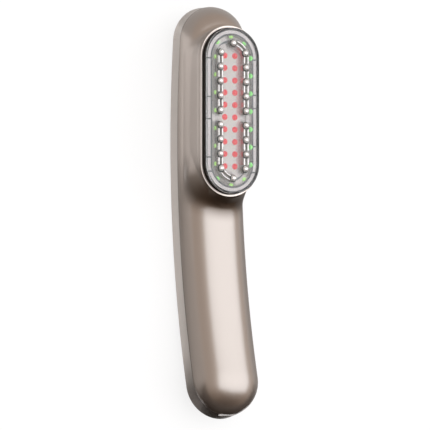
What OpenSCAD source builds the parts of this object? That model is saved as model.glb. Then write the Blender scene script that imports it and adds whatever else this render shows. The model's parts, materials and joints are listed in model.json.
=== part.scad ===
// Hand-held light and contact massager: a curved bar with a racetrack window at its head.
// It lies on its back: +Z points out of the window side, +Y towards the head, X is across.
// The origin is on the resting surface, under the spot that the back rests on.

/* [Casing] */
// Radius of the long curve of the back
spine_r = 440; // [380:5:600]
// Length along the back's curve, tip to tip
body_len = 204.6; // [200:0.2:212]
// Width of the casing
body_w = 33.2; // [32.8:0.2:36]
// Depth of the casing at the handle
body_d = 26.2; // [25.8:0.2:29]
// Wall thickness of both shells
wall = 1.8; // [1.5:0.1:2]
// Radius of the back cover's outer edge
back_edge_r = 2; // [1.9:0.1:3]
// How much each side of the back cover leans in towards the back
back_draft = 0.5; // [0.1:0.1:0.8]
// Distance from the lower tip to the spot that the back rests on, along the curve
rest_at = 101; // [96:0.5:106]
// Depth of the small flat that the back rests on
rest_dip = 0.25; // [0.15:0.05:0.3]

/* [Head] */
// Distance along the back from the lower tip to where the head's straight axis starts
head_at = 138.4; // [136:0.2:141]
// Window centre, past that point along the head's axis
head_shift = 12.8; // [11:0.2:14]
// Height of the rim over the back
rim_h = 32.2; // [31.8:0.2:34]
// Half width of the collar at the rim
rim_w = 15.8; // [15.6:0.1:16.2]
// Half length of the collar
rim_len = 41.4; // [41:0.2:43]
// Width of the rim's lip
lip = 1.2; // [1:0.1:1.3]
// Height of the lens face over the rim
lens_rise = 3.6; // [3.2:0.1:4.2]
// Thickness of the lens face
lens_t = 1.5; // [1.4:0.1:1.6]
// Thickness of the lens side wall
lens_wall = 1; // [0.8:0.1:1.1]
// Gap round the lens
lens_gap = 0.2; // [0.15:0.05:0.3]
// Height of the clear ridges under the balls
ridge_h = 0.4; // [0.2:0.1:0.8]
// Width of the clear ridges
ridge_w = 3; // [2.9:0.1:3.2]

/* [Balls and lights] */
// Diameter of a contact ball
ball_d = 2.9; // [2.6:0.1:3]
// Distance along the window from the last ball of a column to the end ball
ball_corner = 5; // [4:0.2:6]
// Distance of each ball column from the middle
ball_x = 7; // [6.9:0.05:7.1]
// Distance of the top and bottom balls from the collar's ends
ball_inset = 8.4; // [8:0.2:9.4]
// Diameter of a lamp
lamp_d = 3; // [2.6:0.1:3]
// How far the red columns run past the collar's straight sides
red_over = 1.1; // [0:0.1:1.6]
// Distance of each red column from the middle
red_x = 2.77; // [2.6:0.01:3]
// Number of red lamps in a column
red_rows = 10; // [8:2:10]
// Distance of the green lamps inside the collar's outline
green_inset = 5.9; // [5.8:0.05:6]
// Width of the pale ring of segments
segment_w = 1.8; // [1.6:0.1:1.9]
// Gap between two segments
segment_gap = 0.7; // [0.5:0.1:1]

/* [Controls] */
// Distance from the lower tip to the power button
power_at = 66; // [64:0.5:68]
// Distance from the lower tip to the mode button
mode_at = 47; // [45:0.5:49]
// Length of a button
button_len = 14; // [12:0.5:15]
// Width of a button
button_w = 8.4; // [7.6:0.2:9]
// Travel of a button
button_travel = 0.5; // [0.4:0.05:0.6]
// Gap round a button
button_gap = 0.25; // [0.2:0.05:0.3]
// Diameter of an indicator light
pipe_d = 1.6; // [1.2:0.1:2]

/* [Power] */
// Diameter of the cell
cell_d = 14; // [13.6:0.1:14.2]
// Length of the cell
cell_len = 49; // [46:0.5:50]
// Distance from the lower tip to the cell's middle
cell_at = 52; // [51:0.5:54]
// Width of the charging socket's shell
usb_w = 8.94; // [8.8:0.02:9]
// Height of the charging socket's shell
usb_h = 3.16; // [3.1:0.02:3.3]
// Depth of the charging socket's shell
usb_len = 7.3; // [6.6:0.1:8]
// Height of the socket's middle over the back
port_h = 8.7; // [8.5:0.1:8.9]
// Gap between the socket's shell and the opening in the casing
port_gap = 0.4; // [0.3:0.05:0.5]

/* [Motor] */
// Diameter of the motor
motor_d = 10; // [9:0.5:10.5]
// Length of the motor
motor_len = 14; // [12:0.5:15]
// Distance from the lower tip to the motor's middle
motor_at = 97; // [96:0.5:99]
// Diameter of the motor's shaft
shaft_d = 1.5; // [1.2:0.1:2]
// Radius of the swinging weight
weight_r = 4; // [3:0.5:4.5]
// Length of the swinging weight
weight_len = 4.5; // [3:0.5:5]

/* [Boards and fixings] */
// Thickness of the main board
board_t = 1; // [0.8:0.1:1.2]
// Length of the main board
board_len = 58; // [56:0.5:60]
// Width of the main board
board_w = 22; // [21:0.5:23]
// Height of the main board's underside over the back
board_h = 5.6; // [5.4:0.1:5.9]
// Thickness of the carrying frame
frame_t = 1.6; // [1.4:0.1:1.8]
// Diameter of the threads of all screws
screw_d = 1.4; // [1.2:0.1:1.6]
// Thickness of the lamp board
lamp_board_t = 1; // [0.8:0.1:1.1]
// Thickness of the metal plate under the lamp board
spreader_t = 1.2; // [1:0.1:1.4]

/* [Hidden] */

half_w = body_w / 2;
split_h = body_d - half_w;
tongue_x = half_w - wall - 0.15;
tongue_h = 1.5;
tongue_t = 1;
latch_reach = 0.35;
latch_len = 6;
latch_t = 0.6;
seal_s = 0.7;
seal_x = half_w - 1.3;
tip_low = half_w;
tip_top = body_len - half_w;
fine = 96;
cut = 1;
touch = 0.05;
hair = 0.02;

// Heights in the head, over the back
lens_top = rim_h + lens_rise;
lens_under = lens_top - lens_t;
strip_t = 0.3;
ring_top = lens_under - 1.3;
ring_t = 1;
ring_under = ring_top - ring_t;
segment_t = 0.95;
mask_top = lens_under - 2.5;
mask_t = 0.8;
lamp_top = mask_top;
lamp_board_top = mask_top - mask_t - 0.6;
lamp_board_under = lamp_board_top - lamp_board_t;
spreader_under = lamp_board_under - spreader_t;
ledge_top = lamp_board_top - 2.4;
ledge_t = 2.2;
ledge_under = ledge_top - ledge_t;
gasket_t = 0.6;
rim_round = 0.5;
flange_t = 2;

// Half widths in the head; half lengths differ from them by the straight part
lens_w = rim_w - lip - lens_gap;
lens_in = lens_w - lens_wall;
ring_out = lens_in - 0.2;
ring_in = ball_x + ridge_w / 2;
ledge_w = lens_w - 1.4;
cavity_w = rim_w - wall;
module_w = ledge_w - 0.5;
straight = rim_len - rim_w;
green_x = rim_w - green_inset;
green_pitch = (straight + 0.2) / 3;
red_pitch = 2 * (straight + red_over) / (red_rows - 1);
ball_end = rim_len - ball_inset;
ball_pitch = (ball_end - ball_corner) / 4;
ball_straight = ball_end - ball_x;
mask_w = ring_in - 0.2;
core_straight = straight - 4;
spacer_w = 1.3;
mask_straight = core_straight + module_w - spacer_w - mask_w - 0.2;
boss_y = straight + module_w - 1.4;

// Heights in the handle, over the back
frame_under = board_h + board_t + 2.1;
frame_top = frame_under + frame_t;
frame_w = half_w - wall - 1.6;
cell_h = split_h + half_w - wall - 0.5 - cell_d / 2;
board_at = (power_at + mode_at) / 2;
switch_t = 1.6;
switch_w = 4.5;
switch_wall = 0.2;
plunger_t = button_travel + 0.3;
plunger_room = button_travel + 0.15;
plunger_r = 1.05;
cap_top = board_h - switch_t - plunger_t - touch;
cap_flange = 0.9;
cap_lip = 1;
motor_h = frame_top + 1 + motor_d / 2;
sleeve_t = 0.8;
motor_rib_x = motor_d / 2 + sleeve_t + 0.1 + frame_t / 2;
shaft_fit = 0.04;
pilot = screw_d / 2 - 0.1;
head_r = screw_d * 0.85;
head_t = 0.9;
board_post_y = board_len / 2 - 3;
board_post_x = board_w / 2 - 2.5;
frame_low = board_at - board_len / 2 - 6;
frame_high = head_at + head_shift + 24;
frame_post_x = 10.4;
frame_posts = [frame_low + 3, board_at + board_len / 2 + 0.5];
frame_rests = [head_at - 10, head_at + 30];
frame_rest_x = 9;
frame_rest_r = 1.6;
frame_boss_r = 2.4;
board_post_r = 1.8;
carrier_boss_r = 2;
snap_at = [30, 62, 94, 126, 158];
motor_socket_x = -5;
motor_socket_y = board_len / 2 - 15;
cell_socket_x = 3.5;
cell_socket_y = -board_len / 2 + 9;
socket_z = board_h + board_t + 0.8;
socket_len = 4;
power_row_y = cell_socket_y + 6;
control_size = [7, 7, 1];
charge_size = [4, 4, 0.9];
coil_size = [5, 5, 1.6];
capacitor_size = [1.2, 2, 1.1];
pad_w = 8;
pad_len = 30;
pad_t = 1.3;
gaps_left = [25, 6.4, -4.3, -22.7, -29.5];
gaps_right = [25, 7.9, 1.6, -16.9, -29.5];
pipe_at = power_at + 15;
pipe_step = 3.6;
usb_front = half_w - 0.6;
usb_board_t = 0.8;
usb_board_h = port_h - usb_h / 2 - usb_board_t - touch;
usb_board_w = 13.6;
usb_post_r = 2;
usb_post_x = usb_w / 2 + 0.1;
usb_post_y = -usb_front + usb_len + 3;
usb_sheet = 0.3;
usb_tongue_w = 6.7;
usb_tongue_t = 0.7;

champagne = [0.66, 0.58, 0.52];
back_paint = [0.68, 0.64, 0.6];
clear = [0.86, 0.9, 0.92, 0.3];
circuit_green = [0.1, 0.32, 0.2];
pale = [0.86, 0.84, 0.81];
metal = [0.78, 0.78, 0.8];
black = [0.08, 0.08, 0.09];
grey = [0.45, 0.45, 0.46];

function arc(s) = (s - rest_at) / spine_r * 180 / PI;
function turn(v, a) = [v[0] * cos(a) - v[1] * sin(a), v[0] * sin(a) + v[1] * cos(a)];

// Frame at a distance along the back: its origin is on the back, +Z points to the front
module on_spine(s) {
    translate([0, 0, spine_r - rest_dip])
        rotate([arc(s), 0, 0])
            translate([0, 0, -spine_r])
                children();
}

module on_head() {
    on_spine(head_at) translate([0, head_shift, 0]) children();
}

// Sweeps a section of width and height along the back's curve
module spine_sweep(from, to) {
    translate([0, 0, spine_r - rest_dip])
        rotate([arc(from), 0, 0])
            rotate([0, 90, 0])
                rotate_extrude(angle = arc(to) - arc(from), $fn = 720)
                    translate([spine_r, 0])
                        rotate(90)
                            children();
}

module right_half() {
    intersection() {
        children();
        translate([0, -20]) square([60, 80]);
    }
}

// Round end of the casing: it starts a little inside the straight run, a hair smaller
module round_end() {
    rotate([0, 0, -1])
        rotate_extrude(angle = 182, $fn = fine)
            right_half() translate([-hair, -hair]) children();
}

// Sweeps a section along the whole casing, with round ends
module body_sweep() {
    spine_sweep(tip_low, tip_top) children();
    on_spine(tip_low) rotate([0, 0, 180]) round_end() children();
    on_spine(tip_top) round_end() children();
}

module racetrack(w, run) {
    translate([-w, -run]) square([2 * w, 2 * run]);
    for (side = [-1, 1])
        translate([0, side * run]) circle(r = w, $fn = fine);
}

module racetrack_plate(w, run, from, to) {
    translate([0, 0, from])
        linear_extrude(to - from) racetrack(w, run);
}

module racetrack_ring(outer, inner, run, from, to) {
    translate([0, 0, from])
        linear_extrude(to - from)
            difference() {
                racetrack(outer, run);
                racetrack(inner, run);
            }
}

// Pill-shaped prism along Z, its long side across
module pill(long, wide, from, to) {
    translate([0, 0, from])
        linear_extrude(to - from)
            rotate(90) racetrack(wide / 2, (long - wide) / 2);
}

module post(x, y, from, to, r) {
    translate([x, y, from]) cylinder(h = to - from, r = r, $fn = 32);
}

// Screw whose head's outer face is at the origin and whose shank points to +Z
module screw(len) {
    difference() {
        union() {
            cylinder(h = head_t, r = head_r, $fn = 32);
            cylinder(h = len, r = pilot, $fn = 32);
        }
        translate([0, 0, -cut]) cylinder(h = cut + 0.5, r = head_r * 0.5, $fn = 6);
    }
}

// Wire: straight runs with a ball at each bend
module wire(points, r) {
    for (i = [0 : len(points) - 2]) {
        run = points[i + 1] - points[i];
        size = norm(run);
        translate(points[i])
            rotate([0, acos(run[2] / size), atan2(run[1], run[0])])
                cylinder(h = size, r = r, $fn = 16);
    }
    for (i = [1 : len(points) - 2])
        translate(points[i]) sphere(r = r * 1.15, $fn = 24);
}

// Edge-on outline of a flat cable: straight runs with a small round at each bend
module ribbon(points, t) {
    for (i = [0 : len(points) - 2]) {
        run = points[i + 1] - points[i];
        translate(points[i]) rotate(atan2(run[1], run[0])) translate([0, -t / 2]) square([norm(run), t]);
    }
    for (i = [1 : len(points) - 2])
        translate(points[i]) circle(r = t * 0.6, $fn = 16);
}

// Half-round front of the casing's section, set in from the outside and cut off at a height
module front_section(inset, from) {
    intersection() {
        translate([0, split_h]) circle(r = half_w - inset, $fn = fine);
        translate([-half_w, from]) square([body_w, body_w]);
    }
}

// Side and rounded edge of the back cover's section, from a height down to the back
function tray_side(inset, from) =
    let (edge = max(back_edge_r - inset, 0.4), low_w = half_w - inset - back_draft)
    concat([[half_w - inset - back_draft * (split_h - from) / split_h, from]],
        [for (a = [0 : -15 : -90])
            [low_w - edge + edge * cos(a), inset + edge + edge * sin(a)]]);

// Step of the seam, from the outside to the inside: groove for the seal, then the tongue
function seam_steps() = [
    [seal_x + seal_s + touch, split_h], [seal_x + seal_s + touch, split_h - seal_s - touch],
    [seal_x - touch, split_h - seal_s - touch], [seal_x - touch, split_h],
    [tongue_x, split_h], [tongue_x, split_h + tongue_h],
    [tongue_x - tongue_t, split_h + tongue_h], [tongue_x - tongue_t, split_h - tongue_h]];

function mirrored(points) = [for (i = [len(points) - 1 : -1 : 0]) [-points[i][0], points[i][1]]];
function backwards(points) = [for (i = [len(points) - 1 : -1 : 0]) points[i]];

module tray_section() {
    outer = tray_side(0, split_h);
    inner = tray_side(wall, split_h - tongue_h);
    inside = concat(seam_steps(), inner);
    polygon(concat(backwards(outer), inside, mirrored(inside), backwards(mirrored(outer))));
}

// Opening for the charging socket through both shells at the lower tip
module port_opening() {
    on_spine(tip_low)
        translate([0, -half_w - cut, port_h])
            rotate([-90, 0, 0])
                pill(usb_w + 2 * port_gap, usb_h + 2 * port_gap, 0, cut + wall + 2);
}

// Small latches along both sides; grow widens them for the pockets that take them
module snap_latches(grow) {
    for (s = snap_at, side = [-1, 1])
        on_spine(s)
            translate([side * (tongue_x + latch_reach / 2 - 0.1), 0, split_h + 0.9])
                cube([latch_reach + 0.2 + 2 * grow, latch_len + 2 * grow, latch_t + 2 * grow],
                    center = true);
}

module front_shell() {
    color(champagne)
    difference() {
        union() {
            difference() {
                union() {
                    body_sweep() front_section(0, split_h);
                    on_head() collar();
                }
                body_sweep() front_section(wall, split_h - cut);
            }
            frame_bosses();
            intersection() {
                on_head() carrier_bosses();
                on_head() racetrack_plate(cavity_w + 0.4, straight, ledge_under, ledge_top);
            }
        }
        on_head() {
            racetrack_plate(cavity_w, straight, split_h - cut, ledge_under);
            difference() {
                racetrack_plate(ledge_w, straight, ledge_under - cut, ledge_top + cut);
                carrier_bosses();
            }
            racetrack_plate(rim_w - lip, straight, ledge_top, rim_h + cut);
            for (side = [-1, 1])
                post(0, side * boss_y, ledge_under - cut, ledge_top - 0.4, pilot);
        }
        for (s = frame_posts, side = [-1, 1])
            on_spine(s) post(side * frame_post_x, 0, frame_top - cut, frame_top + 5, pilot);
        port_opening();
        snap_latches(0.1);
    }
}

// Collar round the window, with a small round at the rim
module collar() {
    racetrack_plate(rim_w, straight, split_h + 4, rim_h - rim_round);
    racetrack_plate(rim_w - rim_round, straight, rim_h - rim_round - touch, rim_h);
}

module carrier_bosses() {
    for (side = [-1, 1])
        post(0, side * boss_y, ledge_under, ledge_top, carrier_boss_r);
}

module frame_bosses() {
    boss_top = split_h + sqrt(pow(half_w, 2) - pow(frame_post_x + frame_boss_r, 2)) - 0.2;
    for (s = frame_posts, side = [-1, 1])
        on_spine(s) post(side * frame_post_x, 0, frame_top + touch, boss_top, frame_boss_r);
}

module back_cover() {
    color(back_paint)
    difference() {
        union() {
            body_sweep() tray_section();
            snap_latches(0);
            for (side = [-1, 1])
                on_spine(tip_low)
                    post(side * usb_post_x, usb_post_y, wall - 0.2, usb_board_h, usb_post_r);
            for (s = frame_rests, side = [-1, 1])
                on_spine(s) post(side * frame_rest_x, 0, wall - 0.2, frame_under - touch, frame_rest_r);
        }
        translate([-40, -80, -10]) cube([80, 160, 10]);
        port_opening();
        for (s = [power_at, mode_at])
            on_spine(board_at)
                translate([0, s - board_at, 0])
                    pill(button_len + 2 * button_gap, button_w + 2 * button_gap, -4, wall + 2.5);
        for (i = [-1 : 1])
            on_spine(pipe_at) post(i * pipe_step, 0, -cut, wall + cut, pipe_d / 2 + touch);
        for (side = [-1, 1])
            on_spine(tip_low)
                post(side * usb_post_x, usb_post_y, wall + 0.4, usb_board_h + cut, pilot);
    }
}

module seal_section() {
    for (side = [-1, 1])
        translate([side * (seal_x + seal_s / 2) - seal_s / 2, split_h - seal_s]) square(seal_s);
}

module shell_seal() {
    color(black)
    difference() {
        body_sweep() seal_section();
        port_opening();
    }
}

// Path of each group of balls: [x, y] of every ball
balls_upper_left = [for (i = [0 : 4]) [-ball_x, i * ball_pitch]];
balls_upper_right = concat([[0, ball_end]], [for (i = [4 : -1 : 0]) [ball_x, i * ball_pitch]]);
balls_lower_left = concat([for (i = [-1 : -1 : -4]) [-ball_x, i * ball_pitch]], [[0, -ball_end]]);
balls_lower_right = [for (i = [-1 : -1 : -4]) [ball_x, i * ball_pitch]];
ball_groups = [balls_upper_left, balls_upper_right, balls_lower_left, balls_lower_right];

// Flat bands that follow the four groups of balls
module straight_band(side, low, high, w) {
    translate([side * ball_x - w / 2, low]) square([w, high - low]);
    for (y = [low, high])
        translate([side * ball_x, y]) circle(r = w / 2, $fn = 32);
}

module hook_band(w) {
    intersection() {
        difference() {
            racetrack(ball_x + w / 2, ball_straight);
            racetrack(ball_x - w / 2, ball_straight);
        }
        translate([0, ball_straight]) square([20, 20]);
    }
    translate([0, ball_end]) circle(r = w / 2, $fn = 32);
    straight_band(1, 0, ball_straight, w);
}

module lower_hook_band(w) {
    rotate(180)
        difference() {
            hook_band(w);
            translate([-20, -20]) square([40, 20 + ball_pitch - w / 2 - 0.01]);
        }
    translate([-ball_x, -ball_pitch]) circle(r = w / 2, $fn = 32);
}

module ball_bands(w) {
    straight_band(-1, 0, 4 * ball_pitch, w);
    hook_band(w);
    lower_hook_band(w);
    straight_band(1, -4 * ball_pitch, -ball_pitch, w);
}

module window_lens() {
    edge = 0.9;
    color(clear)
    on_head()
    difference() {
        union() {
            racetrack_plate(lens_w, straight, ledge_top + gasket_t, lens_top - edge);
            racetrack_plate(lens_w - 0.3, straight, lens_top - edge - touch, lens_top - edge / 3);
            racetrack_plate(lens_w - edge, straight, lens_top - edge / 3 - touch, lens_top);
            translate([0, 0, lens_top - touch]) linear_extrude(ridge_h + touch) ball_bands(ridge_w);
        }
        racetrack_plate(lens_in, straight, ledge_top, lens_under);
        for (group = ball_groups, p = group)
            post(p[0], p[1], lens_under - cut, lens_top + 2, ball_d / 2 + 0.02);
    }
}

module lens_gasket() {
    color(black)
    on_head()
        racetrack_ring(lens_w, ledge_w + 0.1, straight, ledge_top, ledge_top + gasket_t);
}

module ball_electrodes() {
    stem = lens_top + 0.2 - lens_under;
    color(metal)
    on_head()
    for (group = ball_groups, p = group)
        translate([p[0], p[1], lens_under])
            rotate_extrude($fn = 32)
                union() {
                    square([ball_d / 2, stem]);
                    intersection() {
                        translate([0, stem]) circle(r = ball_d / 2, $fn = 48);
                        translate([0, stem]) square([ball_d, ball_d]);
                    }
                }
}

module contact_strips() {
    color(metal)
    on_head()
        translate([0, 0, lens_under - strip_t]) linear_extrude(strip_t) ball_bands(2);
}

pin_spots = [for (x = [-1, 1], y = [0.5, -1.5]) [x * ball_x, y * ball_pitch]];
pin_r = 0.65;

module contact_pins() {
    color("goldenrod")
    on_head()
    for (p = pin_spots) {
        post(p[0], p[1], lamp_board_top, mask_top + 0.6, pin_r);
        post(p[0], p[1], mask_top + 0.5, lens_under - strip_t, 0.4);
    }
}

module segment_ring() {
    color(pale)
    on_head()
    difference() {
        racetrack_ring(ring_out, ring_out - segment_w, straight, ring_top, ring_top + segment_t);
        for (y = gaps_left)
            translate([-ring_out - cut, y - segment_gap / 2, ring_top - cut])
                cube([ring_out, segment_gap, segment_t + 2 * cut]);
        for (y = gaps_right)
            translate([cut, y - segment_gap / 2, ring_top - cut])
                cube([ring_out, segment_gap, segment_t + 2 * cut]);
    }
}

module ring_board() {
    color(grey)
    on_head()
        racetrack_ring(ring_out, ring_in, straight, ring_under, ring_top);
}

module ring_spacer() {
    color(black)
    on_head()
        racetrack_ring(module_w, module_w - spacer_w, core_straight, lamp_board_top, ring_under);
}

green_spots = concat(
    [for (i = [-3 : 3], side = [-1, 1]) [side * green_x, i * green_pitch]],
    [for (a = [45, 90, 135], side = [-1, 1])
        [green_x * cos(a), side * (straight + green_x * sin(a))]]);

module green_lamps() {
    color("limegreen")
    on_head()
    for (p = green_spots)
        post(p[0], p[1], ring_top, ring_top + 0.75, lamp_d / 2 - 0.1);
}

red_spots = [for (i = [0 : red_rows - 1], side = [-1, 1])
    [side * red_x, (i - (red_rows - 1) / 2) * red_pitch]];

module red_lamps() {
    color("red")
    on_head()
    for (p = red_spots) {
        translate([p[0], p[1], lamp_board_top + 0.25])
            cube([lamp_d - 0.4, lamp_d - 0.4, 0.5], center = true);
        post(p[0], p[1], lamp_board_top + 0.4, lamp_top, lamp_d / 2 - 0.4);
        post(p[0], p[1], lamp_top - 0.7, lamp_top, lamp_d / 2 - touch);
    }
}

module reflector_plate() {
    color(pale)
    on_head()
    difference() {
        racetrack_plate(mask_w, mask_straight, mask_top - mask_t, mask_top);
        for (p = red_spots)
            post(p[0], p[1], mask_top - mask_t - cut, mask_top + cut, lamp_d / 2);
        for (p = pin_spots)
            post(p[0], p[1], mask_top - mask_t - cut, mask_top + cut, pin_r + 0.1);
    }
}

lamp_screw_x = module_w - 2.9;
lamp_screw_y = core_straight - 1.6;
lamp_screw_spots = [for (x = [-1, 1], y = [-1, 1]) [x * lamp_screw_x, y * lamp_screw_y]];

module lamp_board() {
    color("white")
    on_head()
    difference() {
        racetrack_plate(module_w, core_straight, lamp_board_under, lamp_board_top);
        for (p = lamp_screw_spots)
            post(p[0], p[1], lamp_board_under - cut, lamp_board_top + cut, screw_d / 2);
    }
}

module heat_spreader() {
    color(metal)
    on_head()
    difference() {
        racetrack_plate(module_w, core_straight, spreader_under, lamp_board_under);
        for (p = lamp_screw_spots)
            post(p[0], p[1], spreader_under - cut, lamp_board_under + cut, screw_d / 2);
        translate([-cable_w / 2 - 0.7, cable_top_y - 1.5, spreader_under - cut])
            cube([cable_w + 1.4, 3, spreader_t + 2 * cut]);
    }
}

// Tray that carries the lamp board; its flange is screwed under the ledge of the collar
module lamp_carrier() {
    color(grey)
    on_head()
    difference() {
        union() {
            racetrack_plate(cavity_w - 0.2, straight, ledge_under - flange_t, ledge_under);
            racetrack_plate(module_w, core_straight, ledge_under - touch, spreader_under);
        }
        racetrack_plate(module_w - 5.5, core_straight, ledge_under - flange_t - cut,
            spreader_under + cut);
        for (p = lamp_screw_spots)
            post(p[0], p[1], ledge_under - flange_t + 0.6, spreader_under + cut, pilot);
        for (side = [-1, 1])
            post(0, side * boss_y, ledge_under - flange_t - cut, ledge_under + cut, screw_d / 2);
    }
}

module lamp_screws() {
    color(metal)
    on_head()
    for (p = lamp_screw_spots)
        translate([p[0], p[1], lamp_board_top + head_t]) rotate([180, 0, 0]) screw(head_t + 4);
}

module carrier_screws() {
    color(metal)
    on_head()
    for (side = [-1, 1])
        translate([0, side * boss_y, ledge_under - flange_t - head_t]) screw(head_t + flange_t + 1.6);
}

// Flat cable from the lamp board's lower end down to the main board
module head_cable() {
    color("khaki")
    translate([-cable_w / 2, 0, 0])
        rotate([90, 0, 90])
            linear_extrude(cable_w) ribbon(cable_path, cable_t);
}

cable_socket_y = board_len / 2 - 8;
cable_w = 5;
cable_t = 0.18;
cable_top_y = -14;

// Row position [y, z] of a point given at a distance along the back and a height over it
function at(s, h) = [(spine_r - h) * sin(arc(s)), spine_r - rest_dip - (spine_r - h) * cos(arc(s))];
function spot(s, x, y, h) = let (p = at(s, h) + turn([y, 0], arc(s))) [x, p[0], p[1]];
function on_board(y, h) = at(board_at, h) + turn([y, 0], arc(board_at));
function on_head_at(y, h) = at(head_at, h) + turn([head_shift + y, 0], arc(head_at));

cable_path = [on_board(cable_socket_y + 1.3, board_h + board_t + 0.5),
    on_board(cable_socket_y + 5, board_h + board_t + 0.5),
    at(91, frame_under - 1), at(128, frame_under - 1), at(150, frame_top + 4),
    on_head_at(cable_top_y, spreader_under - 2), on_head_at(cable_top_y, lamp_board_under - 0.25)];

module inner_frame() {
    color(grey)
    difference() {
        union() {
            spine_sweep(frame_low, frame_high)
                translate([-frame_w, frame_under]) square([2 * frame_w, frame_t]);
            for (x = [-1, 1], y = [-1, 1])
                on_spine(board_at)
                    post(x * board_post_x, y * board_post_y, board_h + board_t, frame_top - 0.4,
                        board_post_r);
            for (side = [-1, 1])
                on_spine(cell_at)
                    translate([-6, side * (cell_len / 2 + 1.6) - 1, frame_under + 0.3])
                        cube([12, 2, cell_h - frame_under]);
            for (side = [-1, 1])
                on_spine(motor_at)
                    translate([side * motor_rib_x - frame_t / 2, -motor_len / 2 + 2, frame_under + 0.3])
                        cube([frame_t, motor_len - 4, motor_h - frame_under]);
        }
        on_spine(cell_at)
            translate([-cell_d / 2 + 0.9, -cell_len / 2 - 0.3, frame_under - 2])
                cube([cell_d - 1.8, cell_len + 0.6, 5]);
        on_spine(cell_at)
            translate([0, cell_len / 2 + 0.3, cell_h])
                rotate([90, 0, 0]) cylinder(h = cell_len + 0.6, r = cell_d / 2 + 0.1, $fn = fine);
        for (x = [-1, 1], y = [-1, 1])
            on_spine(board_at)
                post(x * board_post_x, y * board_post_y, board_h, board_h + board_t + 3, pilot);
        for (s = frame_posts, side = [-1, 1])
            on_spine(s) post(side * frame_post_x, 0, frame_under - cut, frame_top + cut, screw_d / 2);
        on_spine(head_at - 7) translate([-3.5, -1, frame_under - 2]) cube([7, 32, frame_t + 6]);
        on_spine(motor_at)
            translate([motor_socket_x - 2, -motor_len / 2 - 5, frame_under - 2])
                cube([6, 5.5, frame_t + 6]);
        on_spine(cell_at)
            translate([-2.2, -cell_len / 2 - 4, frame_under - 2]) cube([4.4, 4, cell_h]);
    }
}

module frame_screws() {
    color(metal)
    for (s = frame_posts, side = [-1, 1])
        on_spine(s)
            translate([side * frame_post_x, 0, frame_under - head_t]) screw(head_t + frame_t + 4);
}

module main_board() {
    color(circuit_green)
    on_spine(board_at)
    difference() {
        translate([-board_w / 2, -board_len / 2, board_h])
            cube([board_w, board_len, board_t]);
        for (x = [-1, 1], y = [-1, 1])
            post(x * board_post_x, y * board_post_y, board_h - cut, board_h + board_t + cut, screw_d / 2);
    }
}

module board_screws() {
    color(metal)
    for (x = [-1, 1], y = [-1, 1])
        on_spine(board_at)
            translate([x * board_post_x, y * board_post_y, board_h - head_t])
                screw(head_t + board_t + 2.6);
}

// Block on the main board; size is its length along the board, its width and its height
module chip(x, y, size) {
    on_spine(board_at)
        translate([x - size[1] / 2, y - size[0] / 2, board_h + board_t])
            cube([size[1], size[0], size[2]]);
}

module control_chip() {
    color(black) chip(-3.5, 0, control_size);
}

module charge_chip() {
    color(black) chip(board_w / 2 - 5.5, power_row_y, charge_size);
}

module boost_coils() {
    color(grey) {
        chip(4.5, power_row_y + 10, coil_size);
        chip(-5, power_row_y, coil_size);
    }
}

module capacitors() {
    color("tan")
    for (i = [0 : 5])
        chip(board_w / 2 - 4, 3 + 2 * capacitor_size[0] * i, capacitor_size);
}

module cable_sockets() {
    color("ivory") {
        chip(0, cable_socket_y, [2.4, cable_w + 2, 1.2]);
        chip(motor_socket_x, motor_socket_y, [socket_len, 3.6, 1.6]);
        chip(cell_socket_x, cell_socket_y, [socket_len, 4.6, 1.6]);
    }
}

module cell() {
    color("mediumseagreen")
    on_spine(cell_at)
        translate([0, cell_len / 2, cell_h])
            rotate([90, 0, 0]) cylinder(h = cell_len, r = cell_d / 2, $fn = fine);
}

module cell_tabs() {
    color(metal)
    for (side = [-1, 1])
        on_spine(cell_at)
            translate([-2, side * (cell_len / 2 + 0.12) - 0.1, cell_h - cell_d / 2 + 1.5])
                cube([4, 0.2, cell_d - 3]);
}

module cell_pad() {
    inner_r = half_w - wall;
    color("dimgray")
    on_spine(cell_at)
        intersection() {
            translate([-pad_w / 2, -pad_len / 2, split_h + inner_r - pad_t - 0.1])
                cube([pad_w, pad_len, pad_t]);
            difference() {
                translate([0, pad_len / 2 + cut, split_h])
                    rotate([90, 0, 0])
                        cylinder(h = pad_len + 2 * cut, r = inner_r - touch, $fn = fine);
                translate([0, pad_len / 2 + cut, cell_h])
                    rotate([90, 0, 0])
                        cylinder(h = pad_len + 2 * cut, r = cell_d / 2 + touch, $fn = fine);
            }
        }
}

// Leads from the cell's lower end to its socket on the main board
module cell_leads() {
    end_y = -cell_len / 2 - 0.75;
    color("firebrick")
    for (side = [-1, 1])
        wire([spot(board_at, cell_socket_x + side, cell_socket_y - socket_len / 2 - 0.06, socket_z),
            spot(cell_at, side * 1.1, end_y - 1, frame_under - 0.8),
            spot(cell_at, side * 1.1, end_y - 1.2, cell_h - 4),
            spot(cell_at, side * 1.1, end_y, cell_h)], 0.4);
}

module motor_can() {
    color(metal)
    on_spine(motor_at)
    difference() {
        translate([0, motor_len / 2, motor_h])
            rotate([90, 0, 0]) cylinder(h = motor_len, r = motor_d / 2, $fn = fine);
        translate([0, motor_len / 2 + cut, motor_h])
            rotate([90, 0, 0]) cylinder(h = motor_len, r = shaft_d / 2 + shaft_fit, $fn = 48);
    }
}

module motor_shaft() {
    color(metal)
    on_spine(motor_at)
        translate([0, motor_len / 2 + weight_len + 1.2, motor_h])
            rotate([90, 0, 0]) cylinder(h = motor_len + weight_len - 1, r = shaft_d / 2, $fn = 48);
}

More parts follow.
